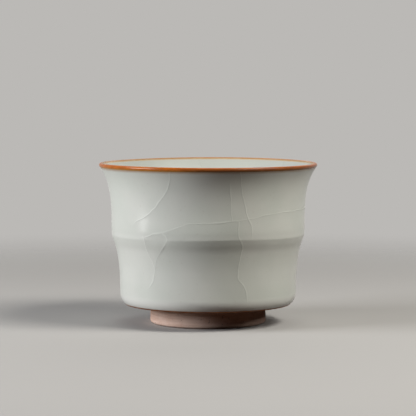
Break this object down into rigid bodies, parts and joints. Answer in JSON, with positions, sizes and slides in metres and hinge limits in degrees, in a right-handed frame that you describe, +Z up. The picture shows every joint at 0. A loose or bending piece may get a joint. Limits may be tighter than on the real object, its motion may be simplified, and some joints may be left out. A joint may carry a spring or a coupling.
{
  "type": "gongfu teacup",
  "caption": "Handleless flared teacup in the bamboo-joint shape, with a crackled pale celadon glaze, a brown lip and a bare clay foot ring. It holds hot tea for one drinker.",
  "frame": {"origin": "middle of the circle that the foot ring stands on, at the standing surface", "axes": "+Z up along the axis that the cup is turned about; -Y is the side that the picture shows"},
  "size_m": [0.0794, 0.0794, 0.0585],
  "materials": {
    "celadon_glaze": "satin pale grey-green crackle glaze",
    "brown_lip": "glossy iron-brown dressing",
    "brown_edge": "satin dark brown glaze edge",
    "bare_clay": "matte unglazed pinkish-buff stoneware"
  },
  "bodies": {
    "root": {"clay_body": "bare_clay", "foot_ring": "bare_clay", "luting_slip": "bare_clay", "outer_glaze": "celadon_glaze", "inner_glaze": "celadon_glaze", "lip_band": "brown_lip", "foot_line": "brown_edge", "well_glaze": "celadon_glaze"}
  },
  "joints": []
}
